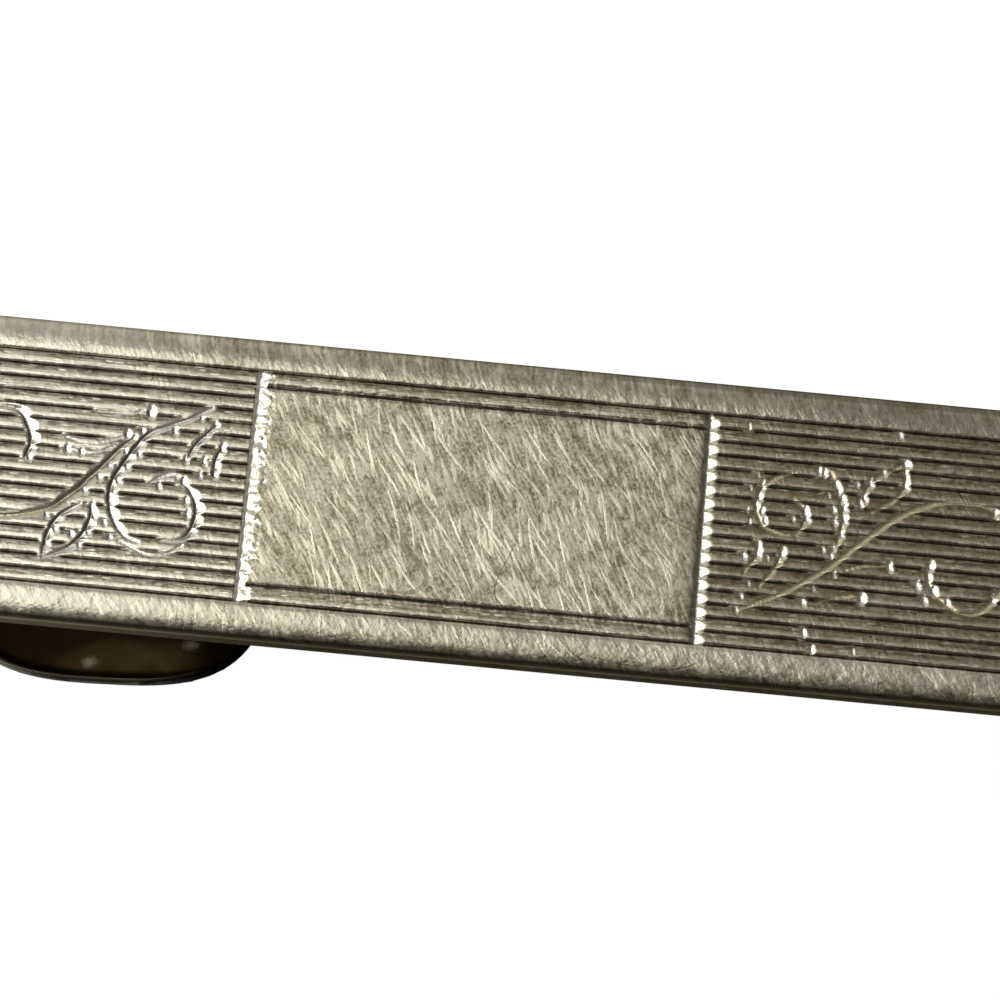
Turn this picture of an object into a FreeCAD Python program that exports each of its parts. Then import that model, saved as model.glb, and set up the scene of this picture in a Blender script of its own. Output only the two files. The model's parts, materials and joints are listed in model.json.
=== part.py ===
import FreeCAD
import Part
import math
import os

# Spring tie clip, in millimetres.
# X runs along the bar, Y across it and Z out of its engraved face.
# The origin is the centre of the plain name panel, on the face.
# The bar is a thin shell rolled over a back plate. A bracket riveted to the back plate carries
# a hinge pin, and on the pin a spring lever closes its toothed jaw on the back of the bar.

Vector = FreeCAD.Vector
ACROSS = Vector(0, 1, 0)
OUT_OF_FACE = Vector(0, 0, 1)
FACEWARD = 1
REARWARD = -1
OVERRUN = 1.0
SAME_HEIGHT = 0.00001

# Bar
BAR_LENGTH = 44.45
BAR_WIDTH = 6.45
BAR_CORNER_RADIUS = 0.9
FACE_WALL = 0.3
SIDE_WALL = 0.4
LIP_WALL = 0.3
LIP_REACH = 0.75
FRONT_EDGE_RADIUS = 0.2
BACK_EDGE_RADIUS = 0.3
BACK_PLATE_THICKNESS = 0.36
BACK_PLATE_SIDE_CLEARANCE = 0.04

# Engraving on the face
RIDGE_COUNT = 17
RIDGE_PITCH = 0.29
GROOVE_WIDTH = 0.1
GROOVE_DEPTH = 0.06
PANEL_LENGTH = 9.43
PANEL_MARGIN_RIDGES = 1
END_BORDER = 0.95
CROSS_CUT_WIDTH = 0.2
CROSS_CUT_DEPTH = 0.08

# Hinge
HINGE_X = -2.2
HINGE_DROP = 1.89
PIN_RADIUS = 0.5
PIN_HEAD_RADIUS = 0.68
PIN_HEAD_HEIGHT = 0.25
PIN_RUNNING_CLEARANCE = 0.03
HINGE_SIDE_CLEARANCE = 0.05

# Bracket and its rivets
BRACKET_SHEET = 0.45
BRACKET_WIDTH = 3.5
BRACKET_LENGTH = 8.0
BRACKET_CORNER_RADIUS = 0.6
EAR_RADIUS = 0.92
EAR_FOOT_LENGTH = 3.4
RIVET_RADIUS = 0.45
RIVET_SPACING = 5.9
RIVET_HEAD_RADIUS = 0.65
RIVET_HEAD_HEIGHT = 0.22
RIVET_SINK_RADIUS = 0.75
RIVET_SINK_DEPTH = 0.22

# Lever
LEVER_SHEET = 0.55
CHEEK_SHEET = 0.5
CHEEK_EAR_RADIUS = 1.15
CHEEK_FOOT_SHARE = 0.62
NECK_WIDTH = 3.0
FLANGE_REACH = 8.5
JAW_REACH = 20.9
JAW_TIP_WIDTH = 3.7
JAW_TIP_CORNER_RADIUS = 0.6
JAW_REST_GAP = 0.08
TOOTH_HEIGHT = 0.62
TOOTH_LEAN_DEG = 62.0
TOOTH_COUNT = 5
TOOTH_NOTCH_DEPTH = 0.3
BEND_RADIUS = 0.3

# Thumb plate of the lever, dished towards the bar
THUMB_CENTRE_X = -7.67
THUMB_LENGTH = 7.15
THUMB_WIDTH = 6.4
THUMB_SQUARENESS = 3.35
THUMB_RIM_DEPTH = 6.03
THUMB_TILT_DEG = 11.0
THUMB_DISH_RADIUS = 10.5
THUMB_OUTLINE_POINTS = 24

# Torsion spring
WIRE_DIAMETER = 0.4
COIL_PIN_CLEARANCE = 0.1
COIL_PITCH = 0.84
COIL_FULL_TURNS = 2
SPRING_LEG_LENGTH = 3.1
SPRING_LEG_GAP = 0.05
SPRING_LEG_BEND = 0.6
COIL_QUARTERS = 4
GAP_SAMPLES_PER_TURN = 48

# Heights below the face
plate_front_z = -FACE_WALL
plate_back_z = plate_front_z - BACK_PLATE_THICKNESS
bar_back_z = plate_back_z - LIP_WALL
base_back_z = plate_back_z - BRACKET_SHEET
hinge_z = plate_back_z - HINGE_DROP
tooth_tip_z = plate_back_z - JAW_REST_GAP

# Widths across the hinge
ear_outer_y = BRACKET_WIDTH / 2
ear_inner_y = ear_outer_y - BRACKET_SHEET
cheek_inner_y = ear_outer_y + HINGE_SIDE_CLEARANCE
cheek_outer_y = cheek_inner_y + CHEEK_SHEET

# Coil and the lever sheet that its lower leg lies along
coil_radius = PIN_RADIUS + COIL_PIN_CLEARANCE + WIRE_DIAMETER / 2
spine_drop = coil_radius + WIRE_DIAMETER / 2 + SPRING_LEG_GAP

# Dish of the thumb plate: both its spheres share one centre, on the face's side of the plate
thumb_tilt = math.radians(THUMB_TILT_DEG)
dish_inner_radius = THUMB_DISH_RADIUS - LEVER_SHEET
dish_rim_rise = THUMB_DISH_RADIUS - math.sqrt(THUMB_DISH_RADIUS**2 - (THUMB_WIDTH / 2) ** 2)
thumb_normal = Vector(-math.sin(thumb_tilt), 0, math.cos(thumb_tilt))
thumb_along = Vector(math.cos(thumb_tilt), 0, math.sin(thumb_tilt))
thumb_bottom = Vector(THUMB_CENTRE_X, 0, -THUMB_RIM_DEPTH) - thumb_normal * dish_rim_rise
dish_centre = thumb_bottom + thumb_normal * THUMB_DISH_RADIUS
hinge_point = Vector(HINGE_X, 0, hinge_z)


def common_tangent_angle():
    """Angle of the neck: the line that touches the dish's inner circle and the circle under the hinge."""
    between = hinge_point - dish_centre
    reach = math.hypot(between.x, between.z)
    return math.atan2(between.z, between.x) + math.asin((dish_inner_radius - spine_drop) / reach)


def tangent_foot(centre, radius, angle):
    """Point where a line at that angle touches the underside of a circle."""
    return centre + Vector(math.sin(angle), 0, -math.cos(angle)) * radius


def lines_cross(point_a, angle_a, point_b, angle_b):
    """Crossing point of two lines in the XZ plane."""
    along_a = Vector(math.cos(angle_a), 0, math.sin(angle_a))
    along_b = Vector(math.cos(angle_b), 0, math.sin(angle_b))
    offset = point_b - point_a
    turn = along_a.x * along_b.z - along_a.z * along_b.x
    return point_a + along_a * ((offset.x * along_b.z - offset.z * along_b.x) / turn)


def rounded_wire(points, radii):
    """Closed wire through the points, with an arc of the given radius at each corner that has one."""
    edges = []
    count = len(points)
    trimmed = []
    for i, (corner, radius) in enumerate(zip(points, radii)):
        back = (points[i - 1] - corner).normalize()
        ahead = (points[(i + 1) % count] - corner).normalize()
        half = math.acos(back.dot(ahead)) / 2
        trim = radius / math.tan(half)
        inward = (back + ahead).normalize()
        middle = corner + inward * (radius / math.sin(half) - radius)
        trimmed.append((corner + back * trim, middle, corner + ahead * trim, radius))
    for i, (start, middle, end, radius) in enumerate(trimmed):
        if radius > 0:
            edges.append(Part.Arc(start, middle, end).toShape())
        edges.append(Part.LineSegment(end, trimmed[(i + 1) % count][0]).toShape())
    return Part.Wire(edges)


def across(wire, inner_y, outer_y):
    """Solid of an XZ outline from one Y to another."""
    face = Part.Face(wire)
    face.translate(ACROSS * inner_y)
    return face.extrude(ACROSS * (outer_y - inner_y))


def sheet_outline(inner_points, thickness):
    """Corners of a bent sheet: the points of its upper side, then its lower side a thickness below."""
    angles = []
    for a, b in zip(inner_points, inner_points[1:]):
        angles.append(math.atan2(b.z - a.z, b.x - a.x))
    outer = [tangent_foot(inner_points[0], thickness, angles[0])]
    for i in range(1, len(angles)):
        before = tangent_foot(inner_points[i], thickness, angles[i - 1])
        after = tangent_foot(inner_points[i], thickness, angles[i])
        outer.append(lines_cross(before, angles[i - 1], after, angles[i]))
    outer.append(tangent_foot(inner_points[-1], thickness, angles[-1]))
    return inner_points + outer[::-1]


def centred_box(length, width, low_z, high_z):
    """Box centred on the Z axis."""
    corner = Vector(-length / 2, -width / 2, low_z)
    return Part.makeBox(length, width, high_z - low_z, corner)


def edges_at_height(shape, height):
    """Edges that lie in one level plane."""
    fits = []
    for edge in shape.Edges:
        box = edge.BoundBox
        if max(abs(box.ZMin - height), abs(box.ZMax - height)) < SAME_HEIGHT:
            fits.append(edge)
    return fits


def rounded_plate(length, width, low_z, high_z, corner_radius):
    """Flat plate with four round corners."""
    x, y = length / 2, width / 2
    corners = [Vector(-x, -y, low_z), Vector(x, -y, low_z), Vector(x, y, low_z), Vector(-x, y, low_z)]
    wire = rounded_wire(corners, [corner_radius] * len(corners))
    return Part.Face(wire).extrude(OUT_OF_FACE * (high_z - low_z))


def groove(start, end, width, depth):
    """V-shaped cutter from one point of the face to another."""
    along = end - start
    side = OUT_OF_FACE.cross(along).normalize() * (width / 2)
    down = OUT_OF_FACE * -depth
    section = Part.makePolygon([start - side, start + side, start + down, start - side])
    return Part.Face(section).extrude(along)


def groove_y(index):
    """Place of a groove across the bar, counted from its front edge."""
    return (index - RIDGE_COUNT / 2) * RIDGE_PITCH


def engraving():
    """Cutters for the ridged fields, the panel's frame and the four cross cuts."""
    panel_x = PANEL_LENGTH / 2
    field_x = BAR_LENGTH / 2 - END_BORDER
    field_y = RIDGE_COUNT * RIDGE_PITCH / 2
    cutters = []
    for index in range(RIDGE_COUNT + 1):
        y = groove_y(index)
        across_panel = min(index, RIDGE_COUNT - index) <= PANEL_MARGIN_RIDGES
        spans = [(-field_x, field_x)] if across_panel else [(-field_x, -panel_x), (panel_x, field_x)]
        for start_x, end_x in spans:
            cutters.append(groove(Vector(start_x, y, 0), Vector(end_x, y, 0), GROOVE_WIDTH, GROOVE_DEPTH))
    for x in (-field_x, -panel_x, panel_x, field_x):
        start, end = Vector(x, -field_y, 0), Vector(x, field_y, 0)
        cutters.append(groove(start, end, CROSS_CUT_WIDTH, CROSS_CUT_DEPTH))
    return Part.makeCompound(cutters)


def face_shell():
    """Engraved front of the bar, with its edges rolled under to hold the back plate."""
    shell = rounded_plate(BAR_LENGTH, BAR_WIDTH, bar_back_z, 0, BAR_CORNER_RADIUS)
    shell = shell.makeFillet(FRONT_EDGE_RADIUS, edges_at_height(shell, 0))
    shell = shell.makeFillet(BACK_EDGE_RADIUS, edges_at_height(shell, bar_back_z))
    pocket = centred_box(
        BAR_LENGTH - 2 * SIDE_WALL, BAR_WIDTH - 2 * SIDE_WALL, plate_back_z, plate_front_z
    )
    window = centred_box(
        BAR_LENGTH - 2 * LIP_REACH, BAR_WIDTH - 2 * LIP_REACH, bar_back_z - OVERRUN, plate_front_z
    )
    return shell.cut(pocket.fuse(window)).cut(engraving())


def rivet_places():
    """Rivet axes, each side of the hinge."""
    return [HINGE_X - RIVET_SPACING / 2, HINGE_X + RIVET_SPACING / 2]


def rivet_shank(x, low_z, high_z):
    return Part.makeCylinder(RIVET_RADIUS, high_z - low_z, Vector(x, 0, low_z))


def rivet_sink(x):
    """Cone of a rivet's flush end, in the front of the back plate."""
    base = Vector(x, 0, plate_front_z - RIVET_SINK_DEPTH)
    return Part.makeCone(RIVET_RADIUS, RIVET_SINK_RADIUS, RIVET_SINK_DEPTH, base)


def back_plate():
    """Flat strip trapped inside the shell, drilled for the bracket's rivets."""
    margin = SIDE_WALL + BACK_PLATE_SIDE_CLEARANCE
    plate = centred_box(
        BAR_LENGTH - 2 * margin, BAR_WIDTH - 2 * margin, plate_back_z, plate_front_z
    )
    for x in rivet_places():
        hole = rivet_shank(x, plate_back_z - OVERRUN, plate_front_z + OVERRUN)
        plate = plate.cut(hole).cut(rivet_sink(x))
    return plate


def bracket_rivets():
    """Two flush rivets, with domed heads between the bracket's ears."""
    rivets = []
    dome_radius = (RIVET_HEAD_RADIUS**2 + RIVET_HEAD_HEIGHT**2) / (2 * RIVET_HEAD_HEIGHT)
    for x in rivet_places():
        shank = rivet_shank(x, base_back_z, plate_front_z)
        ball_centre = Vector(x, 0, base_back_z - RIVET_HEAD_HEIGHT + dome_radius)
        ball = Part.makeSphere(dome_radius, ball_centre)
        slab_low = Vector(x, 0, base_back_z - RIVET_HEAD_HEIGHT)
        slab = Part.makeCylinder(RIVET_HEAD_RADIUS, RIVET_HEAD_HEIGHT, slab_low)
        head = ball.common(slab)
        rivets.append(shank.fuse([rivet_sink(x), head]).removeSplitter())
    return Part.makeCompound(rivets)


def hinge_bracket():
    """Base plate with two ears that carry the hinge pin."""
    base = rounded_plate(
        BRACKET_LENGTH, BRACKET_WIDTH, base_back_z, plate_back_z, BRACKET_CORNER_RADIUS
    )
    base.translate(Vector(HINGE_X, 0, 0))
    foot_left = Vector(HINGE_X - EAR_FOOT_LENGTH / 2, 0, base_back_z)
    foot_right = Vector(HINGE_X + EAR_FOOT_LENGTH / 2, 0, base_back_z)
    outline = ear_outline(foot_left, foot_right, EAR_RADIUS, REARWARD)
    ears = [
        across(outline, ear_inner_y, ear_outer_y),
        across(outline, -ear_outer_y, -ear_inner_y),
    ]
    holes = [pin_cylinder(PIN_RADIUS, BRACKET_WIDTH + 2 * OVERRUN)]
    for x in rivet_places():
        holes.append(rivet_shank(x, base_back_z - OVERRUN, plate_back_z + OVERRUN))
    return base.fuse(ears).removeSplitter().cut(holes)


def tangent_point(outside, radius, side):
    """Point of the circle about the hinge where a line from outside touches it."""
    offset = outside - hinge_point
    reach = math.hypot(offset.x, offset.z)
    angle = math.atan2(offset.z, offset.x) + side * math.acos(radius / reach)
    return hinge_point + Vector(math.cos(angle), 0, math.sin(angle)) * radius


def ear_outline(left, right, radius, up, more=()):
    """Outline that runs from two feet to a round end about the hinge, above or below it."""
    touch_left = tangent_point(left, radius, -up)
    touch_right = tangent_point(right, radius, up)
    top = hinge_point + Vector(0, 0, up * radius)
    corners = [touch_right, right, *more, left, touch_left]
    edges = [Part.Arc(touch_left, top, touch_right).toShape()]
    for a, b in zip(corners, corners[1:]):
        edges.append(Part.LineSegment(a, b).toShape())
    return Part.Wire(edges)


def pin_cylinder(radius, length):
    """Cylinder on the hinge's axis, centred across the bar."""
    return Part.makeCylinder(radius, length, hinge_point - ACROSS * (length / 2), ACROSS)


def hinge_pin():
    """Pin with a peened head outside each cheek of the lever."""
    head_inner_y = cheek_outer_y + HINGE_SIDE_CLEARANCE
    pin = pin_cylinder(PIN_RADIUS, 2 * head_inner_y)
    dome_radius = (PIN_HEAD_RADIUS**2 + PIN_HEAD_HEIGHT**2) / (2 * PIN_HEAD_HEIGHT)
    heads = []
    for outward in (ACROSS, -ACROSS):
        seat = hinge_point + outward * head_inner_y
        slab = Part.makeCylinder(PIN_HEAD_RADIUS, PIN_HEAD_HEIGHT, seat, outward)
        ball = Part.makeSphere(dome_radius, seat + outward * (PIN_HEAD_HEIGHT - dome_radius))
        heads.append(ball.common(slab))
    return pin.fuse(heads).removeSplitter()


def thumb_outline_point(turn):
    """Point of the thumb plate's squared oval, in the plate's own plane through the dish's centre."""
    power = 2 / THUMB_SQUARENESS
    c, s = math.cos(turn), math.sin(turn)
    along = math.copysign(abs(c) ** power, c) * THUMB_LENGTH / 2
    side = math.copysign(abs(s) ** power, s) * THUMB_WIDTH / 2
    return dish_centre + thumb_along * along + ACROSS * side


def thumb_plate():
    """Dished oval plate that the thumb presses."""
    turns = [2 * math.pi * i / THUMB_OUTLINE_POINTS for i in range(THUMB_OUTLINE_POINTS)]
    curve = Part.BSplineCurve()
    curve.interpolate([thumb_outline_point(turn) for turn in turns], PeriodicFlag=True)
    outline = Part.Face(Part.Wire(curve.toShape()))
    prism = outline.extrude(thumb_normal * -(THUMB_DISH_RADIUS + OVERRUN))
    bowl = Part.makeSphere(THUMB_DISH_RADIUS, dish_centre)
    return prism.common(bowl).cut(Part.makeSphere(dish_inner_radius, dish_centre))


def lever_bends():
    """Upper side of the lever's sheet: dish, neck, under the hinge, jaw and tooth edge."""
    neck_angle = common_tangent_angle()
    neck_start = tangent_foot(dish_centre, dish_inner_radius, neck_angle)
    under_hinge = tangent_foot(hinge_point, spine_drop, neck_angle)
    tooth_lean = math.radians(TOOTH_LEAN_DEG)
    tooth_top = Vector(HINGE_X + JAW_REACH, 0, tooth_tip_z)
    tooth_root = tooth_top - Vector(TOOTH_HEIGHT / math.tan(tooth_lean), 0, TOOTH_HEIGHT)
    offset = tooth_root - hinge_point
    reach = math.hypot(offset.x, offset.z)
    jaw_angle = math.atan2(offset.z, offset.x) + math.asin(spine_drop / reach)
    knee = lines_cross(under_hinge, neck_angle, tooth_root, jaw_angle)
    return [neck_start, knee, tooth_root, tooth_top]


def cheek_foot(bends):
    """Place along the neck where the cheeks begin."""
    neck_start, knee = bends[:2]
    return neck_start + (knee - neck_start) * CHEEK_FOOT_SHARE


def lever_spine(bends):
    """Bent sheet of the neck and the jaw, narrowed towards the dish and towards the teeth."""
    corners = sheet_outline(bends, LEVER_SHEET)
    outer_bend = BEND_RADIUS + LEVER_SHEET
    radii = [0, BEND_RADIUS, BEND_RADIUS, 0, 0, outer_bend, outer_bend, 0]
    sheet = across(rounded_wire(corners, radii), -cheek_outer_y, cheek_outer_y)
    flange_x = HINGE_X + FLANGE_REACH
    tip_x = max(corner.x for corner in corners)
    neck_x = bends[0].x
    foot_x = cheek_foot(bends).x
    plan = [
        Vector(neck_x - OVERRUN, -NECK_WIDTH / 2, 0),
        Vector(neck_x, -NECK_WIDTH / 2, 0),
        Vector(foot_x, -cheek_outer_y, 0),
        Vector(flange_x, -cheek_outer_y, 0),
        Vector(tip_x, -JAW_TIP_WIDTH / 2, 0),
        Vector(tip_x, JAW_TIP_WIDTH / 2, 0),
        Vector(flange_x, cheek_outer_y, 0),
        Vector(foot_x, cheek_outer_y, 0),
        Vector(neck_x, NECK_WIDTH / 2, 0),
        Vector(neck_x - OVERRUN, NECK_WIDTH / 2, 0),
    ]
    plan_radii = [0, 0, 0, 0, JAW_TIP_CORNER_RADIUS, JAW_TIP_CORNER_RADIUS, 0, 0, 0, 0]
    cutter = Part.Face(rounded_wire(plan, plan_radii)).extrude(Vector(0, 0, -THUMB_DISH_RADIUS))
    return sheet.common(cutter)


def tooth_notches(bends):
    """Notches between the teeth along the jaw's edge."""
    pitch = JAW_TIP_WIDTH / TOOTH_COUNT
    low_x = bends[-2].x
    reach = LEVER_SHEET / math.sin(math.radians(TOOTH_LEAN_DEG)) + OVERRUN
    notches = []
    for i in range(TOOTH_COUNT + 1):
        y = i * pitch - JAW_TIP_WIDTH / 2
        section = Part.makePolygon(
            [
                Vector(low_x, y, tooth_tip_z - TOOTH_NOTCH_DEPTH),
                Vector(low_x, y + pitch / 2, tooth_tip_z),
                Vector(low_x, y + pitch / 2, tooth_tip_z + OVERRUN),
                Vector(low_x, y - pitch / 2, tooth_tip_z + OVERRUN),
                Vector(low_x, y - pitch / 2, tooth_tip_z),
                Vector(low_x, y, tooth_tip_z - TOOTH_NOTCH_DEPTH),
            ]
        )
        notches.append(Part.Face(section).extrude(Vector(reach, 0, 0)))
    return Part.makeCompound(notches)


def jaw_lever():
    """Spring lever in one bent sheet: dished thumb plate, hinge cheeks and toothed jaw."""
    bends = lever_bends()
    _, knee, tooth_root, _ = bends
    sink = Vector(0, 0, -LEVER_SHEET / 2)
    jaw_slope = (tooth_root.z - knee.z) / (tooth_root.x - knee.x)
    flange_x = HINGE_X + FLANGE_REACH
    flange_foot = Vector(flange_x, 0, knee.z + (flange_x - knee.x) * jaw_slope)
    neck_foot = cheek_foot(bends)
    outline = ear_outline(neck_foot + sink, flange_foot + sink, CHEEK_EAR_RADIUS, FACEWARD, [knee + sink])
    cheeks = [
        across(outline, cheek_inner_y, cheek_outer_y),
        across(outline, -cheek_outer_y, -cheek_inner_y),
    ]
    lever = lever_spine(bends).fuse(cheeks + [thumb_plate()]).removeSplitter()
    hole = pin_cylinder(PIN_RADIUS + PIN_RUNNING_CLEARANCE, 2 * (cheek_outer_y + OVERRUN))
    return lever.cut(hole).cut(tooth_notches(bends))


def arc_on_tangents(start, start_along, end, end_along):
    """Two arcs from one point and direction to another, as edges that join smoothly."""
    span = end - start
    both = start_along + end_along
    bend = 2 * (1 - start_along.dot(end_along))
    lean = span.dot(both)
    reach = (math.sqrt(lean**2 + bend * span.dot(span)) - lean) / bend
    first = start + start_along * reach
    second = end - end_along * reach
    joint = (first + second) / 2
    edges = []
    for a, corner, b in ((start, first, joint), (joint, second, end)):
        weight = (b - a).Length / (2 * reach)
        middle = (a + corner * (2 * weight) + b) / (2 + 2 * weight)
        edges.append(Part.Arc(a, middle, b).toShape())
    return edges


def spring_path():
    """Centre line of the spring: a leg on the bracket, the coil, and a leg along the lever's neck."""
    neck_angle = common_tangent_angle()
    leg_height = base_back_z - WIRE_DIAMETER / 2 - SPRING_LEG_GAP - hinge_z
    lean = math.hypot(coil_radius, SPRING_LEG_LENGTH)
    leg_angle = math.asin(leg_height / lean) - math.atan2(coil_radius, SPRING_LEG_LENGTH)
    start_turn = math.pi / 2 - leg_angle
    end_turn = neck_angle - math.pi / 2 - 2 * math.pi * COIL_FULL_TURNS
    rise = COIL_PITCH / (2 * math.pi)
    middle_turn = (start_turn + end_turn) / 2

    def place(turn):
        round_hinge = Vector(math.cos(turn), 0, math.sin(turn)) * coil_radius
        return hinge_point + round_hinge + ACROSS * ((turn - middle_turn) * rise)

    def heading(turn):
        return Vector(math.sin(turn) * coil_radius, -rise, -math.cos(turn) * coil_radius).normalize()

    quarters = math.ceil((start_turn - end_turn) / (2 * math.pi) * COIL_QUARTERS)
    step = (start_turn - end_turn) / quarters
    turns = [start_turn - step * i for i in range(quarters + 1)]
    upper = Vector(math.cos(leg_angle), 0, -math.sin(leg_angle))
    lower = Vector(-math.cos(neck_angle), 0, -math.sin(neck_angle))
    upper_end = place(turns[0]) - (upper + heading(turns[0])).normalize() * SPRING_LEG_BEND
    lower_end = place(turns[-1]) + (lower + heading(turns[-1])).normalize() * SPRING_LEG_BEND
    upper_tip = upper_end - upper * (SPRING_LEG_LENGTH - SPRING_LEG_BEND)
    lower_tip = lower_end + lower * (SPRING_LEG_LENGTH - SPRING_LEG_BEND)
    edges = [Part.LineSegment(upper_tip, upper_end).toShape()]
    edges += arc_on_tangents(upper_end, upper, place(turns[0]), heading(turns[0]))
    for a, b in zip(turns, turns[1:]):
        edges += arc_on_tangents(place(a), heading(a), place(b), heading(b))
    edges += arc_on_tangents(place(turns[-1]), heading(turns[-1]), lower_end, lower)
    edges.append(Part.LineSegment(lower_end, lower_tip).toShape())
    return Part.Wire(edges), upper_tip, upper


def report_spring_gap(path):
    """Prints the least gap between stretches of the wire that are half a turn or more apart."""
    half_turn = math.pi * coil_radius
    count = round(path.Length / (2 * half_turn) * GAP_SAMPLES_PER_TURN)
    points = path.discretize(Number=count)
    apart = math.ceil(half_turn / (path.Length / (count - 1)))
    least = min(
        (points[i] - points[j]).Length for i in range(count) for j in range(i + apart, count)
    )
    print("spring wire length %.2f, least gap %.3f" % (path.Length, least - WIRE_DIAMETER))


def torsion_spring():
    """Coil round the hinge pin, in one unbroken wire with two straight legs."""
    path, tip, along = spring_path()
    report_spring_gap(path)
    section = Part.Wire(Part.Circle(tip, along, WIRE_DIAMETER / 2).toShape())
    spring = path.makePipeShell([section], True, False)
    print("spring volume %.4f of %.4f" % (spring.Volume, section_area() * path.Length))
    return spring


def section_area():
    return math.pi * WIRE_DIAMETER**2 / 4


PIECES = {
    "face_shell": face_shell,
    "back_plate": back_plate,
    "hinge_bracket": hinge_bracket,
    "bracket_rivets": bracket_rivets,
    "hinge_pin": hinge_pin,
    "jaw_lever": jaw_lever,
    "torsion_spring": torsion_spring,
}

os.makedirs("parts", exist_ok=True)
for name, make in PIECES.items():
    shape = make()
    shape.exportStep("parts/%s.step" % name)
    print(name, "valid", shape.isValid(), "solids", len(shape.Solids), "volume %.3f" % shape.Volume)
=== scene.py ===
"""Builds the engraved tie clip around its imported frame: face, rim, hinge, lever and stage."""

import json
import math
from functools import partialmethod

import bmesh
import bpy
from bpy.props import FloatProperty, FloatVectorProperty, IntProperty, PointerProperty
from mathutils import Matrix, Vector


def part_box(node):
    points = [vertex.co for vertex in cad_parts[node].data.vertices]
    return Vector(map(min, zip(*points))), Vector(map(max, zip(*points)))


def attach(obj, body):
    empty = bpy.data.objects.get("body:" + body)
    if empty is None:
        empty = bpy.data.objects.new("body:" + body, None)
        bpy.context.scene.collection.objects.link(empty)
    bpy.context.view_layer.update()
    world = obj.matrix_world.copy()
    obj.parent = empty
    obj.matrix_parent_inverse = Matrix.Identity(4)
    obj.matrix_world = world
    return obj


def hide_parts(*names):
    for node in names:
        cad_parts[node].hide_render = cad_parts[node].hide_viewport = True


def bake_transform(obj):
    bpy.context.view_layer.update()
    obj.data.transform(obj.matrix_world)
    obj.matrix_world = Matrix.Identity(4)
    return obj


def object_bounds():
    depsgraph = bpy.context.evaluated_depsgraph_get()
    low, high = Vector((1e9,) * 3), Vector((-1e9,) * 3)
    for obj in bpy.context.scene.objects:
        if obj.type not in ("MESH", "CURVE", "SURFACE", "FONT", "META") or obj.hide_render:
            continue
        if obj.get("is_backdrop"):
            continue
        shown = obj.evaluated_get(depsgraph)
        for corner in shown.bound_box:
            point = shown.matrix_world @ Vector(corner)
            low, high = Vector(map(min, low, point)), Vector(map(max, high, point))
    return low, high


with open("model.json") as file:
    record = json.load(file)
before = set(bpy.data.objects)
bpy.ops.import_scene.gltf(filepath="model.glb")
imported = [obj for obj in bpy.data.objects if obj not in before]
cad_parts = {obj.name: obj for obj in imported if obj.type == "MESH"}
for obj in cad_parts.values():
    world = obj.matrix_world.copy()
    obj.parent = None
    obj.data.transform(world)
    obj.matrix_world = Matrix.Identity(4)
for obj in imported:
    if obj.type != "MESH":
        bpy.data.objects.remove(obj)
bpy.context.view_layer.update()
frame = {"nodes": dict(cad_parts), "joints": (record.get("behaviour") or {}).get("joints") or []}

bl_info = {
    "name": "Engraved tie clip",
    "version": (1, 0, 0),
    "blender": (4, 5, 0),
    "location": "View3D > Sidebar > Tie clip",
    "description": "Builds an engraved spring tie clip on its hinge frame",
    "category": "Add Mesh",
}

MM = 0.001
BAR_LOW, BAR_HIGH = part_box("face_shell")
PLATE_LOW, PLATE_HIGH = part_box("back_plate")
HINGE = next(joint for joint in frame["joints"] if joint["name"] == "jaw_hinge")

# Scroll strokes on the right-hand field: name, half width and the cut's deepest line,
# in millimetres from the panel's centre
RIGHT_STROKES = (
    ("stem", 0.05, (
        (5.56, -1.65), (5.83, -1.53), (6.37, -1.26), (6.85, -0.95), (7.44, -0.51), (7.82, -0.14),
        (8.31, 0.29), (8.79, 0.66), (9.28, 0.9), (9.57, 1.0), (10.1, 1.04), (10.49, 1.02),
        (10.83, 0.87), (11.15, 0.55), (11.3, 0.1), (11.22, -0.36), (10.94, -0.74), (10.51, -1.23),
        (10.17, -1.3), (9.88, -1.2), (9.68, -1.05), (9.54, -0.91), (9.42, -0.64), (9.44, -0.3),
    )),
    ("column", 0.04, (
        (6.98, 1.46), (7.23, 1.44), (7.34, 1.3), (7.43, 1.1), (7.5, 0.88), (7.55, 0.69),
        (7.58, 0.49), (7.57, 0.26), (7.53, 0.07), (7.48, -0.14), (7.38, -0.3),
    )),
    ("spiral_left", 0.04, (
        (6.55, 1.38), (6.29, 1.28), (6.05, 1.15), (5.87, 0.95), (5.78, 0.7), (5.78, 0.51),
        (5.85, 0.32), (5.97, 0.14), (6.23, 0.03), (6.48, 0.01),
    )),
    ("spiral_right", 0.042, (
        (6.62, 0.04), (6.74, 0.2), (6.79, 0.38), (6.77, 0.54), (6.7, 0.67), (6.52, 0.79),
    )),
    ("leaf_left", 0.038, ((8.03, 0.83), (8.01, 1.03), (8.11, 1.27), (8.42, 1.54), (8.86, 1.78))),
    ("leaf_right", 0.038, ((8.8, 1.8), (8.84, 1.51), (8.81, 1.27), (8.67, 1.03), (8.16, 0.66))),
    ("leaflet_low", 0.045, ((5.86, -0.15), (5.87, -0.43), (5.62, -0.83))),
    ("leaflet_high", 0.045, ((6.36, -0.29), (6.31, -0.58), (5.95, -1.12))),
    ("stroke_high", 0.035, ((7.68, -0.63), (8.12, -0.49), (8.65, -0.46))),
    ("stroke_low", 0.035, ((7.2, -1.34), (7.73, -1.19), (8.1, -1.17))),
)

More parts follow.
